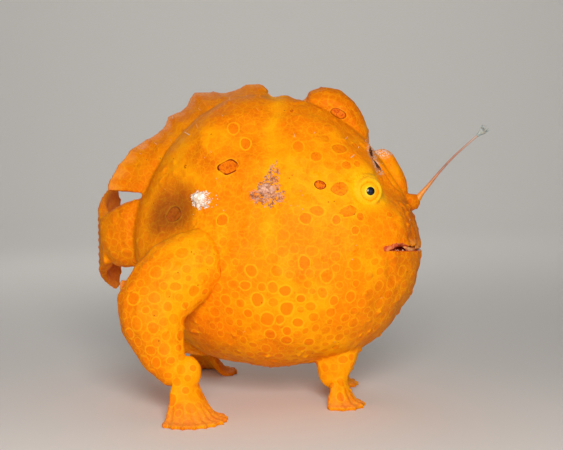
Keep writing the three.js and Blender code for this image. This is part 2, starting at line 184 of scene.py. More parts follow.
def ease(low, high, value):  # 0 below low, 1 above high
    share = np.clip((value - low) / (high - low), 0, 1)
    return share * share * (3 - 2 * share)


def finishPiece(piece, slotName, *nodes):
    pickOnly(piece)
    bpy.ops.object.shade_smooth()
    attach(piece, "root")
    if nodes:
        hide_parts(*nodes)
    print(piece.name, "made,", len(piece.data.polygons), "faces")
    return piece


# Materials


def newMaterial(name):
    material = bpy.data.materials.new(name)
    material.use_nodes = True
    tree = material.node_tree
    return material, tree, tree.nodes["Principled BSDF"]


def addNode(tree, kind, inputs=None, **settings):
    node = tree.nodes.new(kind)
    for key, value in settings.items():
        setattr(node, key, value)
    for key, value in (inputs or {}).items():
        if isinstance(value, bpy.types.NodeSocket):
            tree.links.new(value, node.inputs[key])
        else:
            node.inputs[key].default_value = value
    return node


def mathOf(tree, operation, a, b, clamp=False):
    return addNode(tree, "ShaderNodeMath", {0: a, 1: b}, operation=operation, use_clamp=clamp).outputs[0]


def timesOf(tree, a, b, clamp=False):
    return mathOf(tree, "MULTIPLY", a, b, clamp)


def sumOf(tree, a, b):
    return mathOf(tree, "ADD", a, b)


def vectorOf(tree, operation, inputs):
    return addNode(tree, "ShaderNodeVectorMath", inputs, operation=operation)


def objectPlace(tree):
    return addNode(tree, "ShaderNodeTexCoord").outputs["Object"]


def markOf(tree, name, output="Fac"):  # a mark that markSkin leaves on the skin
    return addNode(tree, "ShaderNodeAttribute", attribute_name=name).outputs[output]


def noiseOf(tree, where, scale, detail, **more):
    return addNode(tree, "ShaderNodeTexNoise", {"Vector": where, "Scale": scale, "Detail": detail, **more})


def fixInputs(shader, values):
    for key, value in values.items():
        shader.inputs[key].default_value = value


def roughen(tree, shader, height, strength, distance):
    bump = addNode(tree, "ShaderNodeBump", {"Height": height, "Strength": strength, "Distance": distance})
    tree.links.new(bump.outputs["Normal"], shader.inputs["Normal"])


def blendOf(tree, share, a, b):
    node = addNode(tree, "ShaderNodeMix", {"Factor": share}, data_type="RGBA")
    for key, value in (("A", a), ("B", b)):
        socket = [s for s in node.inputs if s.name == key and s.type == "RGBA"][0]
        if isinstance(value, bpy.types.NodeSocket):
            tree.links.new(value, socket)
        else:
            socket.default_value = value
    return [s for s in node.outputs if s.type == "RGBA"][0]


def stepOf(tree, value, low, high):  # 0 at low, 1 at high, smooth between
    return addNode(
        tree,
        "ShaderNodeMapRange",
        {"Value": value, "From Min": low, "From Max": high},
        interpolation_type="SMOOTHSTEP",
        clamp=True,
    ).outputs[0]


def makeGrainGroup():  # the fine grain of wet skin, as a height
    group = bpy.data.node_groups.new("skinGrain", "ShaderNodeTree")
    group.interface.new_socket("Coarse", in_out="INPUT", socket_type="NodeSocketFloat").default_value = 900
    group.interface.new_socket("Fine", in_out="INPUT", socket_type="NodeSocketFloat").default_value = 2600
    group.interface.new_socket("Height", in_out="OUTPUT", socket_type="NodeSocketFloat")
    inputs = group.nodes.new("NodeGroupInput")
    outputs = group.nodes.new("NodeGroupOutput")
    where = objectPlace(group)
    coarse = noiseOf(group, where, inputs.outputs["Coarse"], 3.0)
    pimples = addNode(group, "ShaderNodeTexVoronoi", {"Vector": where, "Scale": inputs.outputs["Coarse"]})
    fine = noiseOf(group, where, inputs.outputs["Fine"], 2.0)
    dome = timesOf(group, stepOf(group, pimples.outputs["Distance"], 0.55, 0.0), 0.45)
    rough = timesOf(group, coarse.outputs["Fac"], 0.8)
    height = sumOf(group, sumOf(group, dome, rough), timesOf(group, fine.outputs["Fac"], 0.3))
    group.links.new(height, outputs.inputs["Height"])
    return group


skinLook = {
    "orange": (0.93, 0.235, 0.001, 1),
    "yellow": (1.0, 0.345, 0.001, 1),
    "bright": (1.0, 0.47, 0.003, 1),
    # deep: the skin's own darker mottle, and also the painted shade on the face front, shoulder, edges and hollow
    "deep": (0.72, 0.15, 0.001, 1),
    "spot": (0.89, 0.205, 0.001, 1),
    "ring": (1.0, 0.43, 0.005, 1),
    "ocellus": (0.55, 0.07, 0.002, 1),
    "ocellusRim": (0.16, 0.006, 0.002, 1),
    # pit: painted shade, dark in the notch behind the second spine and in the hollow by the arm
    "pit": (0.10, 0.028, 0.008, 1),
    "margin": (0.98, 0.36, 0.09, 1),
    "frost": (0.74, 0.56, 0.47, 1),
    "lining": (0.62, 0.07, 0.015, 1),
    "liningPale": (0.85, 0.24, 0.06, 1),
    "roughness": 0.46,
    "shine": 0.05,
    "subsurface": 0.14,
    "bleed": 0.003,
}
# Noise scales are per metre. The shares say how strongly a pattern covers the skin.
skinPattern = {
    "patches": 42.0, "mottle": 210.0, "mottleShare": 0.5, "net": 400.0, "netDrift": 0.004, "netShare": 0.3,
    "edgeNoise": 230.0, "wobble": 0.5, "dashes": 1100.0, "marginShare": 0.34, "grit": 1900.0,
    "pepper": 230.0, "pepperShare": 0.55, "coarse": 1100, "fine": 3200,
}


def skinMaterial(grain):
    material, tree, shader = newMaterial("frogfishSkin")
    where = objectPlace(tree)
    patches = noiseOf(tree, where, skinPattern["patches"], 5.0, Roughness=0.6)
    mottle = noiseOf(tree, where, skinPattern["mottle"], 3.0)
    pale = stepOf(tree, patches.outputs["Fac"], 0.43, 0.60)
    colour = blendOf(tree, pale, skinLook["orange"], skinLook["yellow"])
    dark = timesOf(tree, stepOf(tree, mottle.outputs["Fac"], 0.50, 0.72), skinPattern["mottleShare"])
    colour = blendOf(tree, dark, colour, skinLook["deep"])
    # Painted shade: the face front, shoulder, beside the eye, the top and rear edges and the hollow by the arm turn
    # deeper orange; the chin is darker too, and on the third spine the deeper orange is partly the skin's own.
    colour = blendOf(tree, markOf(tree, "shadeAndDeepOrange"), colour, skinLook["deep"])
    drift = vectorOf(tree, "SCALE", {0: mottle.outputs["Color"], "Scale": skinPattern["netDrift"]})
    moved = vectorOf(tree, "ADD", {0: where, 1: drift.outputs[0]})
    cells = {"Vector": moved.outputs[0], "Scale": skinPattern["net"]}
    net = addNode(tree, "ShaderNodeTexVoronoi", cells, feature="DISTANCE_TO_EDGE")
    thread = timesOf(tree, stepOf(tree, net.outputs["Distance"], 0.09, 0.02), skinPattern["netShare"])
    colour = blendOf(tree, thread, colour, skinLook["ring"])

    # Ringed spots: the attribute holds each corner's way from its spot's middle, in spot radii.
    offset = markOf(tree, "spotOffset", "Vector")
    kind = markOf(tree, "spotKind", "Vector")
    split = addNode(tree, "ShaderNodeSeparateXYZ", {"Vector": kind})
    strength, dark, rimmed = split.outputs["X"], split.outputs["Y"], split.outputs["Z"]
    wobble = noiseOf(tree, where, skinPattern["edgeNoise"], 0.0)
    shake = vectorOf(tree, "SUBTRACT", {0: wobble.outputs["Color"], 1: (0.5, 0.5, 0.5)})
    shaken = vectorOf(tree, "SCALE", {0: shake.outputs[0], "Scale": skinPattern["wobble"]})
    bent = vectorOf(tree, "ADD", {0: offset, 1: shaken.outputs[0]})
    away = vectorOf(tree, "LENGTH", {0: bent.outputs[0]}).outputs["Value"]
    dashes = noiseOf(tree, where, skinPattern["dashes"], 1.0, Distortion=0.8)
    dash = stepOf(tree, dashes.outputs["Fac"], 0.50, 0.62)
    inside = stepOf(tree, away, 1.0, 0.84)
    ring = timesOf(tree, stepOf(tree, away, 0.90, 1.04), stepOf(tree, away, 1.34, 1.10))
    colour = blendOf(tree, timesOf(tree, inside, strength), colour, skinLook["spot"])
    colour = blendOf(tree, timesOf(tree, ring, strength), colour, skinLook["ring"])
    speckled = timesOf(tree, dark, sumOf(tree, 0.45, dash))
    colour = blendOf(tree, timesOf(tree, inside, speckled, clamp=True), colour, skinLook["ocellus"])
    rim = timesOf(tree, stepOf(tree, away, 0.80, 0.90), stepOf(tree, away, 1.03, 0.95))
    gaps = stepOf(tree, wobble.outputs["Fac"], 0.40, 0.56)
    broken = timesOf(tree, rimmed, sumOf(tree, 0.35, gaps))
    colour = blendOf(tree, timesOf(tree, rim, broken, clamp=True), colour, skinLook["ocellusRim"])

    # Fin margins turn paler and pinker, and the skin round the eye is bright yellow.
    margin = timesOf(tree, markOf(tree, "thinness"), skinPattern["marginShare"])
    colour = blendOf(tree, margin, colour, skinLook["margin"])
    colour = blendOf(tree, markOf(tree, "glow"), colour, skinLook["bright"])
    # Painted shade darkens the notch behind the second spine, and painted shadow darkens the hollow by the arm.
    colour = blendOf(tree, markOf(tree, "paintedShade"), colour, skinLook["pit"])
    grit = noiseOf(tree, where, skinPattern["grit"], 1.0)
    frost = timesOf(tree, markOf(tree, "frost"), stepOf(tree, grit.outputs["Fac"], 0.51, 0.56))
    colour = blendOf(tree, frost, colour, skinLook["frost"])
    pepper = addNode(tree, "ShaderNodeTexVoronoi", {"Vector": where, "Scale": skinPattern["pepper"]})
    pepper = timesOf(tree, stepOf(tree, pepper.outputs["Distance"], 0.085, 0.05), skinPattern["pepperShare"])
    pepper = timesOf(tree, pepper, stepOf(tree, patches.outputs["Fac"], 0.50, 0.55))
    colour = blendOf(tree, pepper, colour, skinLook["ocellusRim"])
    tree.links.new(colour, shader.inputs["Base Color"])

    skinGrain = addNode(tree, "ShaderNodeGroup", {}, node_tree=grain)
    skinGrain.inputs["Coarse"].default_value = skinPattern["coarse"]
    skinGrain.inputs["Fine"].default_value = skinPattern["fine"]
    roughen(tree, shader, skinGrain.outputs["Height"], 0.6, 0.00026)
    wet = sumOf(tree, skinLook["roughness"], timesOf(tree, mottle.outputs["Fac"], 0.18))
    tree.links.new(wet, shader.inputs["Roughness"])
    fixInputs(shader, {
        "Subsurface Weight": skinLook["subsurface"], "Subsurface Radius": (1.0, 0.32, 0.08),
        "Subsurface Scale": skinLook["bleed"], "Specular IOR Level": skinLook["shine"],
    })
    return material


def liningMaterial(grain):
    material, tree, shader = newMaterial("mouthLining")
    where = objectPlace(tree)
    patch = noiseOf(tree, where, 500.0, 3.0)
    pale = stepOf(tree, patch.outputs["Fac"], 0.45, 0.68)
    colour = blendOf(tree, pale, skinLook["lining"], skinLook["liningPale"])
    tree.links.new(colour, shader.inputs["Base Color"])
    liningGrain = addNode(tree, "ShaderNodeGroup", {}, node_tree=grain)
    roughen(tree, shader, liningGrain.outputs["Height"], 0.6, 0.0003)
    fixInputs(shader, {"Roughness": 0.22})
    return material


# The skin: one surface over every node of flesh

skinForm = {
    "nodes": [
        "head", "lower_jaw", "torso", "tail_stem", "dorsal_spine_third", "dorsal_spine_second",
        "pectoral_arm_right", "pectoral_arm_left", "tail_fin", "dorsal_fin", "anal_fin",
        "pectoral_fin_right", "pectoral_fin_left", "pelvic_fin_right", "pelvic_fin_left",
    ],
    "weld": 0.00001,
    "fatten": 0.00024,
    "voxel": 0.00056,
    "smoothBody": 34,
    "smoothAll": 5,
    "mostTriangles": 186000,
}


def copyOfNode(name):
    piece = bpy.data.objects.new(name + "_copy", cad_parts[name].data.copy())
    bpy.context.collection.objects.link(piece)
    piece.data.materials.clear()
    pickOnly(piece)
    bpy.ops.object.mode_set(mode="EDIT")
    bpy.ops.mesh.select_all(action="SELECT")
    bpy.ops.mesh.remove_doubles(threshold=skinForm["weld"])
    bpy.ops.object.mode_set(mode="OBJECT")
    return piece


def blob(at, radii, turn=(0, 0, 0)):  # a round lump of flesh that the skin grows over
    bpy.ops.mesh.primitive_uv_sphere_add(segments=24, ring_count=16, radius=mm, location=place(*at))
    lump = bpy.context.object
    lump.scale = radii
    lump.rotation_euler = [math.radians(a) for a in turn]
    return settle(lump)


# Lumps under the skin that fill out the wrists and the stalk's root and close the throat
fleshLumps = [
    {"at": (-26.6, -39.4, 16), "radii": (4.8, 3.4, 6.8), "turn": (0, 14, 0)},
    {"at": (-26.6, 39.4, 16), "radii": (4.8, 3.4, 6.8), "turn": (0, 14, 0)},
    {"at": (36, 0, 57.5), "radii": (15.5, 22, 3.5)},
    {"at": (53.8, 0, 73.6), "radii": (5.4, 3.0, 3.1), "turn": (0, -14, 0)},
]


# Where limbs meet the body the skin runs over softly, on both sides
softJoints = [
    {"at": (-14, -35, 58), "reach": 15, "rounds": 90},
    {"at": (-25.5, -41, 12.5), "reach": 10.5, "rounds": 220},
    {"at": (26, -14, 24), "reach": 12, "rounds": 60},
    {"at": (36.5, -30.5, 79), "reach": 8, "rounds": 14},
]


def relax(points, edges, rounds, freedom):  # smooths without shrinking
    count = np.bincount(edges.ravel(), minlength=len(points))[:, None]
    one = np.concatenate([edges[:, 0], edges[:, 1]])
    two = np.concatenate([edges[:, 1], edges[:, 0]])
    for _ in range(rounds):
        for pull in (0.5, -0.52):
            near = np.stack([np.bincount(one, points[two, k], len(points)) for k in range(3)], 1) / count
            points = points + (near - points) * pull * freedom
    return points


def thicknessOf(piece, most=8.0):  # how much flesh lies under each vertex, in millimetres
    tree = BVHTree.FromObject(piece, bpy.context.evaluated_depsgraph_get())
    points, normals = pointsOf(piece), normalsOf(piece)
    found = np.full(len(points), most)
    for i, (point, normal) in enumerate(zip(points, normals)):
        inward = Vector(-normal)
        hit = tree.ray_cast(Vector(point) + inward * 0.0001, inward, most * mm)
        if hit[0] is not None:
            found[i] = hit[3] / mm
    return found


def edgesOf(piece):
    edges = np.empty(len(piece.data.edges) * 2, np.int32)
    piece.data.edges.foreach_get("vertices", edges)
    return edges.reshape(-1, 2)


# Sculpted forms. A lump or hollow has a middle on the right side, a reach and a height. The left side mirrors it.
faceLumps = [
    {"at": (47.2, -25.5, 66.5), "reach": 4.2, "height": 1.8},  # cheek
    {"at": (54.3, -14.5, 66), "reach": 4.2, "height": -2.7},  # snout side
    {"at": (45, -21, 82), "reach": 3.4, "height": -1.0},  # eye hollow
    {"at": (35, -24, 88), "reach": 4.5, "height": 1.0},  # brow
    {"at": (55, -8, 49), "reach": 3.6, "height": -0.6},  # under lip
    {"at": (49, -20, 51), "reach": 4, "height": 0.8},  # jaw side
    {"at": (-8, -34, 60), "reach": 14, "height": 0.8},  # shoulder
    {"at": (6, -30, 34), "reach": 12, "height": 0.9},  # belly
    {"at": (40.2, -12.4, 91.6), "reach": 2.7, "height": -2.4},  # bare notch
    {"at": (36.4, -12.5, 95), "reach": 2.2, "height": 0.9},  # notch edge
    {"at": (14, -2, 114), "reach": 2.4, "height": -1.2},  # nape dip
    {"at": (8.5, -3, 115), "reach": 2.0, "height": 0.7},  # nape bump
    {"at": (3, -4, 114.5), "reach": 2.2, "height": -1.2},  # back dip
]
# Creases run along a line of places on the right side, and the left side mirrors them.
creases = [
    {"line": [(50.3, -18.5, 71), (52.2, -19, 67), (53, -19, 63.6), (51.5, -22, 61.6)], "width": 1.5, "depth": 1.3},
    {"line": [(48.4, -19.5, 73.2), (49.6, -18.5, 74.2), (50.8, -18, 72.2)], "width": 0.55, "depth": 0.6},
    {"line": [(39.4, -12.5, 92.5), (42.2, -13, 87.6), (46.5, -11, 82), (49.5, -8, 77.5)], "width": 1.1, "depth": 1.6},
    {"line": [(30, -29.5, 83.5), (33.5, -28.5, 86.2), (38.5, -25, 86)], "width": 0.9, "depth": 0.6},
    {"line": [(43, -29.5, 57.5), (44, -28, 51), (47, -22, 45), (50, -12, 40)], "width": 1.5, "depth": 0.8},
    {"line": [(2, -14, 108), (3, -25, 95), (1, -33, 78)], "width": 4.5, "depth": 0.6},
    {"line": [(15, -6, 111), (22, -9, 105), (30, -10, 99), (37, -10, 94)], "width": 1.2, "depth": 0.8},
]
wartForm = {"size": 2.6, "above": 0.42, "height": 1.5}


def nearestTo(points, spot):
    return np.argmin(((points - np.array(spot)) ** 2).sum(1))


def awayFrom(points, spot):
    return np.linalg.norm(points - np.array(spot), axis=1)


def distanceToLine(points, line):
    nearest = np.full(len(points), 1e9)
    for a, b in zip(line, line[1:]):
        a, b = np.array(a, float), np.array(b, float)
        share = np.clip((points - a) @ (b - a) / ((b - a) @ (b - a)), 0, 1)
        nearest = np.minimum(nearest, np.linalg.norm(points - a - share[:, None] * (b - a), axis=1))
    return nearest


def sculpt(piece, thin):
    points, normals = pointsOf(piece), normalsOf(piece)
    body = inBody(points)
    right = toRight(body)
    rise = np.zeros(len(body))
    for lump in faceLumps:
        away = awayFrom(right, lump["at"])
        rise += lump["height"] * np.exp(-0.5 * (away / lump["reach"]) ** 2)
    for crease in creases:
        away = distanceToLine(right, crease["line"])
        rise -= crease["depth"] * np.exp(-((away / crease["width"]) ** 2))
        rise += 0.35 * crease["depth"] * np.exp(-(((away - 2.2 * crease["width"]) / crease["width"]) ** 2))
    thick = 1 - thin
    for height, size, seed, cover in ((0.9, 13, 1, thick), (0.32, 4.6, 2, thick), (0.10, 1.5, 3, 1)):
        rise += height * noiseAt(body, size, seed) * cover
    warts = np.maximum(0, noiseAt(body, wartForm["size"], 4) - wartForm["above"])
    rise += wartForm["height"] * warts * thick
    rise *= ease(0.5, 3.0, body[:, 2])  # the soles stay flat
    setPoints(piece, points + normals * rise[:, None] * mm)


# The mouth: a slit round the front of the head that gapes a little near its corners
mouthForm = {
    "cornerX": 42.8, "halfWidth": 31, "depth": 4.8, "frontX": 57, "past": 9, "low": 56.9, "fall": 0.115,
    "slit": 0.45, "gape": 1.0, "gapeAt": 28.3, "gapeSpread": 3.8, "closesFrom": 0.94,
}


def mouthHalfGape(y):
    away = (abs(y) - mouthForm["gapeAt"]) / mouthForm["gapeSpread"]
    return mouthForm["slit"] + mouthForm["gape"] * np.exp(-(away ** 2))


def mouthLow(x):  # the lower lip's edge
    return mouthForm["low"] + mouthForm["fall"] * (mouthForm["frontX"] - x)


def mouthBack(y):
    inner = mouthForm["frontX"] - mouthForm["depth"] - mouthForm["cornerX"]
    return mouthForm["cornerX"] + inner * (1 - min(1, abs(y) / mouthForm["halfWidth"]) ** 2.2)


def mouthCutter():
    bpy.ops.mesh.primitive_cube_add(size=2, location=(0, 0, 0))
    cutter = bpy.context.object
    cutter.name = "mouth_cutter"
    bpy.ops.object.mode_set(mode="EDIT")
    bpy.ops.mesh.subdivide(number_cuts=30)
    bpy.ops.object.mode_set(mode="OBJECT")
    for vertex in cutter.data.vertices:
        u, v, w = vertex.co.y, (vertex.co.x + 1) / 2, vertex.co.z
        y = u * mouthForm["halfWidth"]
        back = mouthBack(y)
        x = back + v * (mouthForm["frontX"] + mouthForm["past"] - back)
        closing = max(0, abs(u) - mouthForm["closesFrom"]) / (1 - mouthForm["closesFrom"])
        half = mouthHalfGape(y) * (0.25 + 0.75 * min(1, v * 5)) * (1 - 0.85 * closing)
        vertex.co = place(x, y, mouthLow(x) + half + w * half)
    return cutter


def inMouth(centres):  # faces that line the slit
    body = inBody(centres)
    low = mouthLow(body[:, 0])
    half = mouthHalfGape(body[:, 1])
    level = (body[:, 2] > low - 0.12) & (body[:, 2] < low + 2 * half + 0.12)
    return level & (body[:, 0] > mouthForm["cornerX"] - 0.5)


def makeSkin(materials):
    parts = [copyOfNode(name) for name in skinForm["nodes"]]
    parts += [blob(**lump) for lump in fleshLumps]
    skin = joinPieces(parts, "skin")
    applyModifier(skin, "DISPLACE", strength=skinForm["fatten"], mid_level=0.0)
    applyModifier(skin, "REMESH", mode="VOXEL", voxel_size=skinForm["voxel"])
    print("skin remeshed,", len(skin.data.polygons), "faces")
    thin = ease(5.0, 2.6, thicknessOf(skin))
    edges = edgesOf(skin)
    near = np.maximum(1, np.bincount(edges[:, 0], minlength=len(thin)))
    for _ in range(3):  # spread the mask a little
        thin = np.maximum(thin, np.bincount(edges[:, 0], thin[edges[:, 1]], len(thin)) / near)
    points = pointsOf(skin)
    sole = ease(0.3, 1.2, inBody(points)[:, 2])
    points = relax(points, edges, skinForm["smoothBody"], ((1 - thin) * sole)[:, None])
    points = relax(points, edges, skinForm["smoothAll"], sole[:, None])
    body = inBody(points)
    right = toRight(body)
    for joint in softJoints:
        share = ease(joint["reach"], 0.5 * joint["reach"], awayFrom(right, joint["at"]))
        points = relax(points, edges, joint["rounds"], share[:, None])
    setPoints(skin, points)
    sculpt(skin, thin)
    print("skin sculpted")
    cutter = mouthCutter()
    applyModifier(skin, "BOOLEAN", operation="DIFFERENCE", object=cutter, solver="MANIFOLD")
    bpy.data.objects.remove(cutter)
    triangles = sum(len(p.vertices) - 2 for p in skin.data.polygons)
    share = min(1.0, skinForm["mostTriangles"] / triangles)
    applyModifier(skin, "DECIMATE", ratio=share, use_collapse_triangulate=True)
    points = pointsOf(skin)
    points[:, 2] = np.maximum(points[:, 2], 0)
    setPoints(skin, points)
    skin.data.materials.clear()
    for material in materials:
        skin.data.materials.append(material)
    centres = np.empty(len(skin.data.polygons) * 3, np.float32)
    skin.data.polygons.foreach_get("center", centres)
    skin.data.polygons.foreach_set("material_index", inMouth(centres.reshape(-1, 3)).astype(np.int32))
    markSkin(skin, centres.reshape(-1, 3).astype(float))
    return finishPiece(skin, "skin", *skinForm["nodes"])


# The larger spots of the right side: place, radius, ringed strength, darkness and dark rim
spots = [
    (-12.4, -25.2, 87.2, 2.8, 0.5, 0.55, 1.0), (19.9, -31.5, 81.4, 1.75, 0.6, 1.0, 1.0),
    (27.1, -31.1, 80.0, 2.4, 0.5, 0.40, 0.25), (27.4, -9.2, 107.2, 2.1, 0.3, 0.70, 0.5),
    (-32.9, -16.9, 70.5, 2.7, 0.6, 0.45, 0.5), (-14.6, -29.6, 69.1, 2.0, 0.8, 0.18, 0.2),
    (-6.5, -21.9, 95.6, 2.2, 0.9, 0.18, 0.1), (-10.9, -18.0, 101.1, 2.4, 0.8, 0.08, 0.0),
    (12.2, -25.8, 94.5, 2.1, 0.5, 0.16, 0.0), (18.7, -26.9, 91.7, 2.0, 0.5, 0.22, 0.0),
    (26.5, -23.3, 94.1, 2.5, 0.6, 0.20, 0.1), (32.5, -18.8, 95.0, 1.5, 0.5, 0.25, 0.1),
    (29.3, -26.5, 88.5, 1.6, 0.5, 0.22, 0.1), (33.2, -25.1, 88.5, 1.3, 0.5, 0.25, 0.1),
    (18.5, -34.4, 72.6, 1.9, 0.6, 0.22, 0.0), (29.7, -33.6, 71.9, 2.1, 0.6, 0.26, 0.2),
    (34.0, -33.1, 70.4, 1.3, 0.6, 0.30, 0.2), (44.3, -27.2, 71.1, 1.2, 0.6, 0.22, 0.2),
    (25.3, -34.8, 70.2, 1.8, 0.7, 0.25, 0.0), (14.8, -35.0, 70.2, 1.9, 0.7, 0.15, 0.0),
    (31.9, -35.0, 66.0, 1.5, 0.7, 0.22, 0.1), (41.2, -27.4, 74.5, 1.0, 0.6, 0.15, 0.1),
    (-28.5, -16.9, 87.4, 0.6, 0.0, 1.0, 0.6), (10.0, -14.8, 108.1, 0.7, 0.0, 1.0, 0.6),
    (14.3, -37.3, 55.2, 2.1, 0.7, 0.14, 0.1), (-4.0, -35.2, 51.3, 2.2, 0.8, 0.0, 0.0),
    (-6.5, -34.5, 46.7, 1.7, 0.9, 0.0, 0.0), (-1.6, -35.3, 41.5, 2.5, 1.0, 0.0, 0.0),
    (7.3, -37.0, 44.9, 1.8, 1.0, 0.04, 0.0), (12.6, -37.0, 42.2, 1.7, 1.0, 0.04, 0.0),
    (7.9, -36.2, 39.1, 2.3, 1.0, 0.0, 0.0), (-4.4, -33.7, 37.0, 1.7, 1.0, 0.0, 0.0),
    (1.6, -34.5, 35.1, 2.3, 0.9, 0.0, 0.0), (12.4, -34.9, 34.0, 2.0, 1.0, 0.0, 0.0),
    (8.2, -33.7, 31.3, 1.7, 1.0, 0.05, 0.0), (2.4, -32.4, 29.9, 1.8, 1.0, 0.05, 0.0),
    (8.2, -31.6, 27.4, 1.8, 1.0, 0.05, 0.0), (15.7, -30.4, 26.3, 2.0, 1.0, 0.0, 0.0),
]
# Spots of the list above that are long: the number in the list, the way they run and how much longer they are
ovals = [
    (0, (1, 0, 0.1), 1.22), (1, (1, 0, 0), 1.25), (2, (1, 0, 0), 1.2), (3, (1, 0, -0.5), 1.7), (4, (1, 0, 0.6), 1.2),
    (10, (1, 0, 0.3), 1.25), (14, (1, 0, -0.2), 1.3), (15, (1, 0, 0.35), 1.7),
]
spotSet = {
    "candidates": 30000, "gapLow": 4.6, "gapHigh": 5.9, "gapFin": 4.0, "share": 0.42,
    "faint": 0.20, "bold": 0.42, "onFace": 0.4, "listed": 0.85, "leftShift": 3,
}


def spreadSpots(body, thin):
    low = ease(74, 40, body[:, 2])
    gap = spotSet["gapHigh"] + (spotSet["gapLow"] - spotSet["gapHigh"]) * low
    gap = gap + (spotSet["gapFin"] - gap) * thin
    strength = spotSet["faint"] + spotSet["bold"] * low
    face = ease(34, 44, body[:, 0]) * ease(54, 60, body[:, 2])
    strength = strength * (1 - (1 - spotSet["onFace"]) * face)
    middles, radii, kinds = [], [], []
    for x, y, z, radius, ringed, dark, rimmed in spots:
        for side in (1, -1):
            shift = 0
            if side < 0:  # the left side isn't an exact mirror
                shift = spotSet["leftShift"] * math.sin(x * 1.7 + z)
            middles.append(body[nearestTo(body, (x + shift, y * side, z - shift))])
            radii.append(radius)
            kinds.append((spotSet["listed"] * ringed, dark, rimmed))
    chosen = dice.choice(len(body), spotSet["candidates"], replace=False)
    for i in chosen:
        away = np.linalg.norm(np.array(middles) - body[i], axis=1) - np.array(radii)
        size = gap[i] * spotSet["share"] * dice.uniform(0.6, 1.08)
        if away.min() > size + 0.2 * gap[i] * dice.uniform(0.05, 1.0):
            middles.append(body[i])
            radii.append(size)
            kinds.append((strength[i] * dice.uniform(0.55, 1.1), 0.07 * dice.uniform(0, 1), 0))
    print(len(middles), "spots")
    return np.array(middles), np.array(radii), np.array(kinds)


def markSpots(mesh, body, thin, faces):  # gives each corner its way from the middle of its face's spot
    middles, radii, kinds = spreadSpots(body, thin)
    owner = np.empty(len(faces), int)
    for start in range(0, len(faces), 4000):
        some = faces[start:start + 4000]
        square = (some ** 2).sum(1)[:, None] + (middles ** 2).sum(1)[None] - 2 * some @ middles.T
        owner[start:start + 4000] = np.argmin(np.sqrt(np.maximum(square, 0)) - radii[None], axis=1)
    counts = np.empty(len(mesh.polygons), np.int32)
    mesh.polygons.foreach_get("loop_total", counts)
    corners = np.empty(len(mesh.loops), np.int32)
    mesh.loops.foreach_get("vertex_index", corners)
    spot = np.repeat(owner, counts)
    stretch = dice.uniform(0.84, 1.16, (len(middles), 3))
    offsets = (body[corners] - middles[spot]) / radii[spot][:, None] * stretch[spot]
    for index, way, long in ovals:
        way = np.array(way) / np.linalg.norm(way)
        for chosen in (2 * index, 2 * index + 1):  # the right side's and the left side's
            some = spot == chosen
            offsets[some] -= (1 - 1 / long) * (offsets[some] @ way)[:, None] * way
    for name, values in (("spotOffset", offsets), ("spotKind", kinds[spot])):
        mark = mesh.attributes.new(name, "FLOAT_VECTOR", "CORNER")
        mark.data.foreach_set("vector", values.astype(np.float32).ravel())


# Where the skin's colour changes and where shade is painted on it: places of the right side, and the pale band over the
# flank
tintSet = {
    "eyeGlow": 0.85,
    "band": {"x": 1.5, "lean": 0.06, "width": 3.2, "share": 0.5},
    "pit": [(39.5, -9.5, 94), (39.7, -13.6, 91.2), (40.9, -15.8, 88)],
    "hollow": (-34, -18, 71),
    # how strongly painted shadow darkens the hollow by the arm
    "hollowShadow": 0.6,
    "shoulder": (-16, -22, 96),
    "byEye": [(47, -16, 86), (44.5, -22, 83), (43, -25, 79)],
    "spineTip": (43.5, 0, 95.2),
}


# Painted shade, with some of the skin's own deeper orange on the third spine: face front, chin, shoulder, beside the
# eye, top and rear edges, and the hollow by the arm.
def shadeAndDeepOrangeOf(body, right, hollow, soft):  # deeper orange, 0 to 1
    x, z = body[:, 0], body[:, 2]
    front = ease(47.5, 52, x + 1.2 * soft) * ease(60, 61.5, z) * ease(80, 74, z)
    chin = ease(42, 47, x + 2 * soft) * ease(58.5, 56.5, z) * ease(22, 34, z)
    shoulder = ease(22, 6, awayFrom(right, tintSet["shoulder"])) * ease(-0.4, 0.3, soft)
    byEye = ease(3.2, 1.5, distanceToLine(right, tintSet["byEye"]))
    shadeAndDeepOrange = 0.9 * ease(16, 5, hollow)
    for share, part in (
        (0.95, front), (0.6, chin), (0.9, shoulder), (0.6, byEye),
        (0.7, ease(96, 107, z + 5 * soft)), (0.55, ease(-28, -44, x + 5 * soft)),
    ):
        shadeAndDeepOrange = np.maximum(shadeAndDeepOrange, share * part)
    return shadeAndDeepOrange


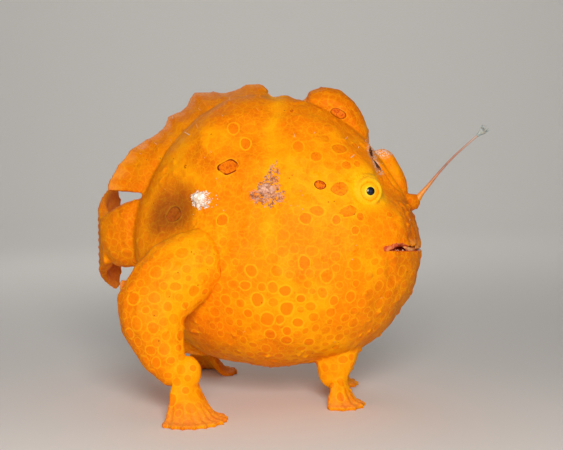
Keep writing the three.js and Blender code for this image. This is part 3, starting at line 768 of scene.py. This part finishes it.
def markSkin(skin, centres):
    body = inBody(pointsOf(skin))
    right = toRight(body)
    x, z = body[:, 0], body[:, 2]
    thin = ease(3.4, 1.5, thicknessOf(skin, 5.0)) * ease(0.2, 1.5, z)
    markSpots(skin.data, body, thin, inBody(centres))
    glow = np.zeros(len(body))
    for name in ("eye_right", "eye_left"):
        low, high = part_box(name)
        away = np.linalg.norm(body - inBody([(low + high) / 2]), axis=1)
        glow = np.maximum(glow, tintSet["eyeGlow"] * ease(11, 5.5, away))
    band = tintSet["band"]
    across = (x - band["x"] - band["lean"] * (z - 70)) / band["width"]
    fade = np.exp(-(across ** 2)) * ease(52, 66, z)
    glow = np.maximum(glow, band["share"] * fade * ease(-0.5, 0.5, noiseAt(body, 6, 9) + 0.3))
    pit = distanceToLine(right, tintSet["pit"])
    soft = noiseAt(body, 9, 12)
    hollow = awayFrom(right, tintSet["hollow"]) + 3 * soft
    # painted shade: dark in the notch, and a painted shadow in the hollow by the arm
    paintedShade = ease(3.0, 1.2, pit + 0.8 * noiseAt(body, 1.3, 14))
    paintedShade = np.maximum(paintedShade, tintSet["hollowShadow"] * ease(13, 3, hollow))
    frost = ease(4.4, 3.2, pit) * ease(1.2, 2.2, pit)
    frost = np.maximum(frost, ease(7.0, 4.6, awayFrom(body, tintSet["spineTip"])) * ease(89.5, 92, z))
    frost = np.maximum(frost, 0.4 * thin * ease(0.8, 0.25, noiseAt(body, 9, 5) + 0.5) * ease(85, 95, z))
    marks = {
        "thinness": thin, "shadeAndDeepOrange": shadeAndDeepOrangeOf(body, right, hollow, soft), "frost": frost, "glow": glow, "paintedShade": paintedShade,
    }
    for name, values in marks.items():
        mark = skin.data.attributes.new(name, "FLOAT", "POINT")
        mark.data.foreach_set("value", values.astype(np.float32))
    print("skin marked")


# Eyes

eyeForm = {"axis": (0.25, 1, 0.12), "bulge": 0.4, "bulgeReach": 2.3, "pupil": 1.5, "ring": 2.35}
eyeLook = {
    "pupil": (0.004, 0.004, 0.010, 1),
    "glint": (0.02, 0.03, 0.06, 1),
    "bright": (1.0, 0.62, 0.012, 1),
    "iris": (1.0, 0.47, 0.005, 1),
    "streak": (0.80, 0.24, 0.003, 1),
}


def eyeMaterial(name, middle, turn):
    material, tree, shader = newMaterial(name)
    where = objectPlace(tree)
    onEye = {"Vector": where, "Location": middle, "Rotation": turn}
    moved = addNode(tree, "ShaderNodeMapping", onEye, vector_type="TEXTURE")
    parts = addNode(tree, "ShaderNodeSeparateXYZ", {"Vector": moved.outputs[0]})
    x, y = parts.outputs["X"], parts.outputs["Y"]
    flat = addNode(tree, "ShaderNodeCombineXYZ", {"X": x, "Y": y})
    radius = vectorOf(tree, "LENGTH", {0: flat.outputs[0]}).outputs["Value"]
    radius = timesOf(tree, radius, 1 / mm)
    turning = timesOf(tree, mathOf(tree, "ARCTAN2", y, x), 2.6)
    spokes = addNode(tree, "ShaderNodeCombineXYZ", {"X": turning, "Y": timesOf(tree, radius, 0.5)})
    streak = noiseOf(tree, spokes.outputs[0], 3.0, 3.0)
    colour = blendOf(tree, stepOf(tree, radius, 1.8, eyeForm["ring"]), eyeLook["bright"], eyeLook["iris"])
    share = timesOf(tree, stepOf(tree, streak.outputs["Fac"], 0.52, 0.75), stepOf(tree, radius, 1.9, 3.6))
    colour = blendOf(tree, timesOf(tree, share, 0.55), colour, eyeLook["streak"])
    pupil = stepOf(tree, radius, eyeForm["pupil"] + 0.10, eyeForm["pupil"] - 0.06)
    deep = blendOf(tree, stepOf(tree, radius, 0.9, 0.1), eyeLook["pupil"], eyeLook["glint"])
    colour = blendOf(tree, pupil, colour, deep)
    tree.links.new(colour, shader.inputs["Base Color"])
    fixInputs(shader, {"Roughness": 0.25, "Specular IOR Level": 0.2, "Coat Weight": 0.4, "Coat Roughness": 0.04})
    return material


def makeEye(side):
    name = "eye_right" if side < 0 else "eye_left"
    low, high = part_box(name)
    middle = (low + high) / 2
    radius = (high.x - low.x) / 2
    bpy.ops.mesh.primitive_uv_sphere_add(segments=72, ring_count=48, radius=radius, location=(0, 0, 0))
    ball = bpy.context.object
    ball.name = name + "_ball"
    for vertex in ball.data.vertices:  # the clear window over the pupil bulges
        if vertex.co.z > 0:
            away = math.hypot(vertex.co.x, vertex.co.y) / mm
            vertex.co.z += eyeForm["bulge"] * mm * math.exp(-((away / eyeForm["bulgeReach"]) ** 4))
    axis = Vector((eyeForm["axis"][0], eyeForm["axis"][1] * side, eyeForm["axis"][2]))
    ball.rotation_euler = axis.to_track_quat("Z", "Y").to_euler()
    ball.location = middle
    turn = ball.rotation_euler.copy()
    settle(ball)
    ball.data.materials.append(eyeMaterial(name + "_look", middle, turn))
    return finishPiece(ball, "eye", name)


# The lure: a bent stalk and a small tuft of bait

stalkForm = {
    "path": [
        (54.5, 0, 73.9), (57.3, 0, 74.8), (59.4, 0, 77.3), (61.6, 0, 79.9),
        (66.5, 0, 85.9), (71.4, 0, 91.2), (76.4, 0, 95.8), (80.4, 0, 99.3),
    ],
    "radii": [1.7, 1.45, 0.95, 0.7, 0.45, 0.38, 0.36, 0.4],
}
stalkLook = {
    "root": (0.86, 0.30, 0.01, 1),
    "stem": (0.42, 0.17, 0.10, 1),
    "tip": (0.50, 0.34, 0.27, 1),
    "band": (0.20, 0.09, 0.06, 1),
}


def stalkMaterial(grain):
    material, tree, shader = newMaterial("lureStalk")
    where = objectPlace(tree)
    parts = addNode(tree, "ShaderNodeSeparateXYZ", {"Vector": where})
    start, end = place(*stalkForm["path"][1]).x, place(*stalkForm["path"][-1]).x
    along = stepOf(tree, parts.outputs["X"], start, start + 0.45 * (end - start))
    colour = blendOf(tree, along, stalkLook["root"], stalkLook["stem"])
    colour = blendOf(tree, stepOf(tree, parts.outputs["X"], start + 0.6 * (end - start), end), colour, stalkLook["tip"])
    bands = noiseOf(tree, where, 420.0, 2.0)
    share = timesOf(tree, stepOf(tree, bands.outputs["Fac"], 0.52, 0.66), timesOf(tree, along, 0.55))
    colour = blendOf(tree, share, colour, stalkLook["band"])
    tree.links.new(colour, shader.inputs["Base Color"])
    stalkGrain = addNode(tree, "ShaderNodeGroup", {}, node_tree=grain)
    stalkGrain.inputs["Coarse"].default_value = 2400
    roughen(tree, shader, stalkGrain.outputs["Height"], 0.4, 0.0001)
    fixInputs(shader, {"Roughness": 0.45, "Subsurface Weight": 0.1, "Subsurface Scale": 0.001})
    return material


def tubeAlong(points, radii, sides=10, name="tube"):  # a tapered tube on a smooth curve
    curve = bpy.data.curves.new(name, "CURVE")
    curve.dimensions = "3D"
    curve.bevel_depth = 1.0
    curve.bevel_resolution = max(1, sides // 4)
    curve.use_fill_caps = True
    curve.resolution_u = 8
    spline = curve.splines.new("BEZIER")
    spline.bezier_points.add(len(points) - 1)
    for knot, point, radius in zip(spline.bezier_points, points, radii):
        knot.co = point
        knot.radius = radius
        knot.handle_left_type = knot.handle_right_type = "AUTO"
    tube = bpy.data.objects.new(name, curve)
    bpy.context.collection.objects.link(tube)
    pickOnly(tube)
    bpy.ops.object.convert(target="MESH")
    tube = bpy.context.object
    bpy.ops.object.mode_set(mode="EDIT")
    bpy.ops.mesh.select_all(action="SELECT")
    bpy.ops.mesh.remove_doubles(threshold=0.000002)
    bpy.ops.mesh.normals_make_consistent(inside=False)
    bpy.ops.object.mode_set(mode="OBJECT")
    return tube


def makeStalk(grain):
    points = [place(*p) for p in stalkForm["path"]]
    stalk = tubeAlong(points, [r * mm for r in stalkForm["radii"]], 16, "lure_stalk_skin")
    stalk.data.materials.append(stalkMaterial(grain))
    return finishPiece(stalk, "lure_stalk", "lure_rod")


baitForm = {"threads": 22, "length": 4.4, "radius": 0.24, "lean": 26, "fat": 1.25}
baitLook = {"pale": (0.42, 0.47, 0.44, 1), "tip": (0.20, 0.27, 0.27, 1), "pink": (0.50, 0.33, 0.27, 1)}


def baitMaterial():
    material, tree, shader = newMaterial("lureBait")
    where = objectPlace(tree)
    patch = noiseOf(tree, where, 900.0, 3.0)
    fine = noiseOf(tree, where, 3200.0, 1.0)
    colour = blendOf(tree, stepOf(tree, patch.outputs["Fac"], 0.42, 0.62), baitLook["pale"], baitLook["tip"])
    colour = blendOf(tree, timesOf(tree, stepOf(tree, fine.outputs["Fac"], 0.5, 0.7), 0.6), colour, baitLook["pink"])
    tree.links.new(colour, shader.inputs["Base Color"])
    roughen(tree, shader, fine.outputs["Fac"], 0.4, 0.0001)
    fixInputs(shader, {"Roughness": 0.5, "Subsurface Weight": 0.2, "Subsurface Scale": 0.001})
    return material


def anyWay(lowest=-1):
    return Vector((random.uniform(-1, 1), random.uniform(-1, 1), random.uniform(lowest, 1)))


def makeBait():
    root = place(*stalkForm["path"][-1])
    ahead = (root - place(*stalkForm["path"][-2])).normalized()
    bpy.ops.mesh.primitive_uv_sphere_add(
        segments=20, ring_count=14, radius=baitForm["fat"] * mm, location=(0, 0, 0)
    )
    heart = bpy.context.object
    heart.scale = (0.62, 0.62, 1.2)
    heart.rotation_euler = ahead.to_track_quat("Z", "Y").to_euler()
    heart.location = root + ahead * 0.9 * mm
    settle(heart)
    parts = [heart]
    side = ahead.cross(Vector((0, 1, 0))).normalized()
    other = ahead.cross(side)
    for k in range(baitForm["threads"]):
        turn = k * 2.4
        lean = math.radians(baitForm["lean"]) * (0.15 + 0.95 * math.sqrt((k + 0.5) / baitForm["threads"]))
        out = side * math.cos(turn) + other * math.sin(turn)
        reach = baitForm["length"] * (1.0 - 0.28 * (k % 3) / 2) * mm * (1.06 - 0.4 * lean)
        start = root + ahead * 0.7 * mm + out * 0.35 * mm
        bend = ahead * math.cos(lean) + out * math.sin(lean)
        tip = start + bend * reach + anyWay() * 0.25 * mm
        half = start.lerp(tip, 0.5) + out * 0.18 * mm
        radii = [baitForm["radius"] * share * mm for share in (1.1, 0.9, 0.28)]
        parts.append(tubeAlong([start, half, tip], radii, 8, "bait_thread"))
    bait = joinPieces(parts, "lure_bait_tuft")
    bait.data.materials.append(baitMaterial())
    return finishPiece(bait, "lure_bait", "lure_bait")


# Fine growths on the skin: pale threads, most along the back, and two tufted crusts on the right flank

threadSet = {
    "count": 110, "long": (0.8, 2.2), "radius": 0.10,
    "colours": ((0.72, 0.60, 0.52, 1), (0.85, 0.40, 0.10, 1)),
}
crusts = [
    {
        "name": "white_crust", "middle": (-22.3, -23.5, 76.4), "half": (3.7, 3.3), "heart": (2.6, 0.85, 2.0),
        "threads": 300, "strays": 14, "long": (0.5, 1.1), "radius": 0.17,
        "colours": ((0.93, 0.90, 0.83, 1), (0.70, 0.54, 0.40, 1)),
    },
    {
        "name": "pink_crust", "middle": (1.3, -30.5, 79.3), "half": (6.0, 5.0), "heart": (3.0, 0.85, 1.8),
        "threads": 700, "strays": 8, "long": (0.5, 1.5), "radius": 0.14, "peak": 10.5,
        "colours": ((0.72, 0.40, 0.27, 1), (0.40, 0.15, 0.07, 1)),
    },
]


def crustMaterial(name, colours, size):
    material, tree, shader = newMaterial(name)
    where = objectPlace(tree)
    patch = noiseOf(tree, where, size, 3.0, Roughness=0.6)
    colour = blendOf(tree, stepOf(tree, patch.outputs["Fac"], 0.44, 0.58), colours[0], colours[1])
    tree.links.new(colour, shader.inputs["Base Color"])
    roughen(tree, shader, patch.outputs["Fac"], 0.5, 0.0002)
    fixInputs(shader, {"Roughness": 0.7})
    return material


def threadModel():  # one tapered, slightly bent thread of unit length along Z
    spine = [Vector((0, 0, -0.15)), Vector((0.10, 0, 0.5)), Vector((0.02, 0.06, 1.0))]
    return tubeAlong(spine, [0.125, 0.10, 0.035], 6, "thread_model")


def copyThread(model, start, way, long, radius):
    thread = bpy.data.objects.new("thread", model.data.copy())
    bpy.context.collection.objects.link(thread)
    turn = way.to_track_quat("Z", "Y") @ Matrix.Rotation(random.uniform(0, 6.28), 3, "Z").to_quaternion()
    thread.matrix_world = Matrix.LocRotScale(start, turn, Vector((radius * 8, radius * 8, long)))
    return thread


def makeThreads(skin, model):
    points, normals = pointsOf(skin), normalsOf(skin)
    body = inBody(points)
    back = np.flatnonzero((body[:, 2] > 90) & (body[:, 0] < 38))
    notch = np.flatnonzero(awayFrom(body, (41, -9, 92)) < 5)
    crown = np.flatnonzero(awayFrom(body, tintSet["spineTip"]) < 3.6)
    flank = np.flatnonzero((np.abs(body[:, 1]) > 12) & (body[:, 2] > 20))
    pools = ((back, 1.0), (notch, 0.4), (flank, 0.45), (crown, 0.3), (back, 0.8))  # and a share of the length
    parts = []
    for k in range(threadSet["count"]):
        pool, share = pools[k % 5]
        i = int(dice.choice(pool))
        way = (Vector(normals[i]) + anyWay(-0.4) * 0.5).normalized()
        long = random.uniform(*threadSet["long"]) * share * mm
        radius = threadSet["radius"] * random.uniform(0.7, 1.2) * mm
        parts.append(copyThread(model, Vector(points[i]), way, long, radius))
    threads = settle(joinPieces(parts, "skin_threads"))
    threads.data.materials.append(crustMaterial("skinThreads", threadSet["colours"], 150.0))
    return finishPiece(threads, "skin")


def makeCrust(skin, model, crust):
    points, normals = pointsOf(skin), normalsOf(skin)
    body = inBody(points)
    middle, half = crust["middle"], crust["half"]
    across, up = (body[:, 0] - middle[0]) / half[0], (body[:, 2] - middle[2]) / half[1]
    inside = np.hypot(across, up) + 0.35 * noiseAt(body, 1.8, 6)
    if "peak" in crust:  # a pointed upper end
        rise = np.clip((body[:, 2] - middle[2]) / crust["peak"], 0, 1)
        spike = np.abs(body[:, 0] - middle[0] - 3.2 * rise) / (half[0] * 0.75 * (1 - rise) ** 1.2 + 0.25)
        inside = np.where(body[:, 2] > middle[2], np.maximum(spike, rise), inside)
    near = np.flatnonzero((inside < 1) & (body[:, 1] < 0))
    ring = np.flatnonzero((np.abs(across - 1.4) < 0.9) & (np.abs(up + 0.4) < 0.8) & (body[:, 1] < 0))
    parts = []
    for k in range(crust["threads"] + crust["strays"]):
        stray = k >= crust["threads"]
        i = int(dice.choice(ring if stray else near))
        out = Vector(normals[i])
        way = (out * 0.55 + anyWay()).normalized()
        if way.dot(out) < 0.1:  # keeps the thread above the skin
            way = (way + out * (0.2 - way.dot(out))).normalized()
        long = random.uniform(*crust["long"]) * (0.35 if stray else 1) * mm
        radius = crust["radius"] * random.uniform(0.7, 1.3) * mm
        parts.append(copyThread(model, Vector(points[i]), way, long, radius))
    at = points[nearestTo(body, middle)]
    bpy.ops.mesh.primitive_ico_sphere_add(subdivisions=4, radius=mm, location=at)
    heart = bpy.context.object
    for vertex in heart.data.vertices:
        vertex.co *= 1 + 0.35 * noise.noise(vertex.co * 1300)
    heart.scale = crust["heart"]
    parts.append(heart)
    patch = settle(joinPieces(parts, crust["name"]))
    patch.data.materials.clear()
    patch.data.materials.append(crustMaterial(crust["name"] + "_look", crust["colours"], 700.0))
    return finishPiece(patch, "skin")


# Inside the mouth: a band of soft membrane behind the upper lip, and rows of small teeth

mouthParts = {
    "membrane": 26, "membraneRadius": 1.15, "sink": 1.9,
    "membraneColours": ((0.86, 0.42, 0.16, 1), (0.80, 0.26, 0.03, 1)),
    "teeth": 44, "teethReach": 27.5, "toothRadius": 0.17, "toothLength": 0.75,
    "teethColours": ((0.80, 0.66, 0.50, 1), (0.74, 0.52, 0.34, 1)),
}


def lipFront(tree, y, z):  # how far forward the skin is, at this place to the side and height
    hit = tree.ray_cast(place(90, y, z), Vector((-1, 0, 0)))
    return inBody([hit[0]])[0][0] if hit[0] is not None else None


def makeMouthParts(skin):
    tree = BVHTree.FromObject(skin, bpy.context.evaluated_depsgraph_get())
    path, radii = [], []
    for k in range(-7, 8):
        y = mouthParts["membrane"] * k / 7
        x = lipFront(tree, y, mouthLow(50) + 2 * mouthHalfGape(y) + 1.0)
        inward = Vector((30 - x, -y)).normalized() * mouthParts["sink"]
        path.append(place(x + inward.x, y + inward.y, mouthLow(x) + 2 * mouthHalfGape(y) - 0.3))
        radii.append(mouthParts["membraneRadius"] * mm * (1 - 0.4 * (abs(k) / 7) ** 3))
    membrane = tubeAlong(path, radii, 16, "mouth_membrane")
    membrane.data.materials.append(crustMaterial("membraneLook", mouthParts["membraneColours"], 600.0))
    finishPiece(membrane, "skin")
    bpy.ops.mesh.primitive_cone_add(
        vertices=8, radius1=mouthParts["toothRadius"] * mm, radius2=0.03 * mm, depth=mouthParts["toothLength"] * mm
    )
    model = bpy.context.object
    teeth = []
    for k in range(mouthParts["teeth"]):
        share = (k + 0.5) / mouthParts["teeth"] * 2 - 1
        y = mouthParts["teethReach"] * share
        x = lipFront(tree, y, mouthLow(50) - 1.2)
        tooth = bpy.data.objects.new("tooth", model.data.copy())
        bpy.context.collection.objects.link(tooth)
        back = 2.0 + 0.5 * (k % 2)  # two rows
        x = mouthForm["cornerX"] + 1.5 if x is None else x
        tooth.location = place(x - back, y, mouthLow(x - back) + 0.25 * mouthParts["toothLength"])
        tooth.rotation_euler = (0, -0.35 + random.uniform(-0.15, 0.15), 0)
        teeth.append(tooth)
    bpy.data.objects.remove(model)
    row = settle(joinPieces(teeth, "mouth_teeth"))
    row.data.materials.append(crustMaterial("teethLook", mouthParts["teethColours"], 400.0))
    finishPiece(row, "skin")


def makeStage():
    half, rise, bend = stageSet["floorHalf"], stageSet["backRise"], stageSet["bend"]
    bpy.ops.mesh.primitive_cylinder_add(
        vertices=96, radius=half, depth=rise, location=(0, 0, rise / 2), end_fill_type="TRIFAN"
    )
    studio = bpy.context.object
    studio.name = "studio_floor"
    bpy.ops.object.mode_set(mode="EDIT")
    bpy.ops.mesh.select_all(action="DESELECT")
    bpy.ops.object.mode_set(mode="OBJECT")
    for face in studio.data.polygons:  # no lid
        face.select = face.center.z > rise * 0.49
    bpy.ops.object.mode_set(mode="EDIT")
    bpy.ops.mesh.delete(type="FACE")
    bpy.ops.mesh.select_all(action="SELECT")
    bpy.ops.mesh.flip_normals()
    bpy.ops.object.mode_set(mode="OBJECT")
    settle(studio)
    applyModifier(studio, "BEVEL", width=bend, segments=16, limit_method="ANGLE")
    bpy.ops.object.shade_smooth()
    material, tree, shader = newMaterial("paleFloor")
    fixInputs(shader, {"Base Color": stageSet["colour"], "Roughness": 0.85})
    studio.data.materials.append(material)
    print("stage set")


makeCamera()
makeLights()
makeStage()
grainGroup = makeGrainGroup()
skinPiece = makeSkin([skinMaterial(grainGroup), liningMaterial(grainGroup)])
for eyeSide in (-1, 1):
    makeEye(eyeSide)
makeStalk(grainGroup)
makeBait()
makeMouthParts(skinPiece)
threadPiece = threadModel()
makeThreads(skinPiece, threadPiece)
for crustForm in crusts:
    makeCrust(skinPiece, threadPiece, crustForm)
bpy.data.objects.remove(threadPiece)
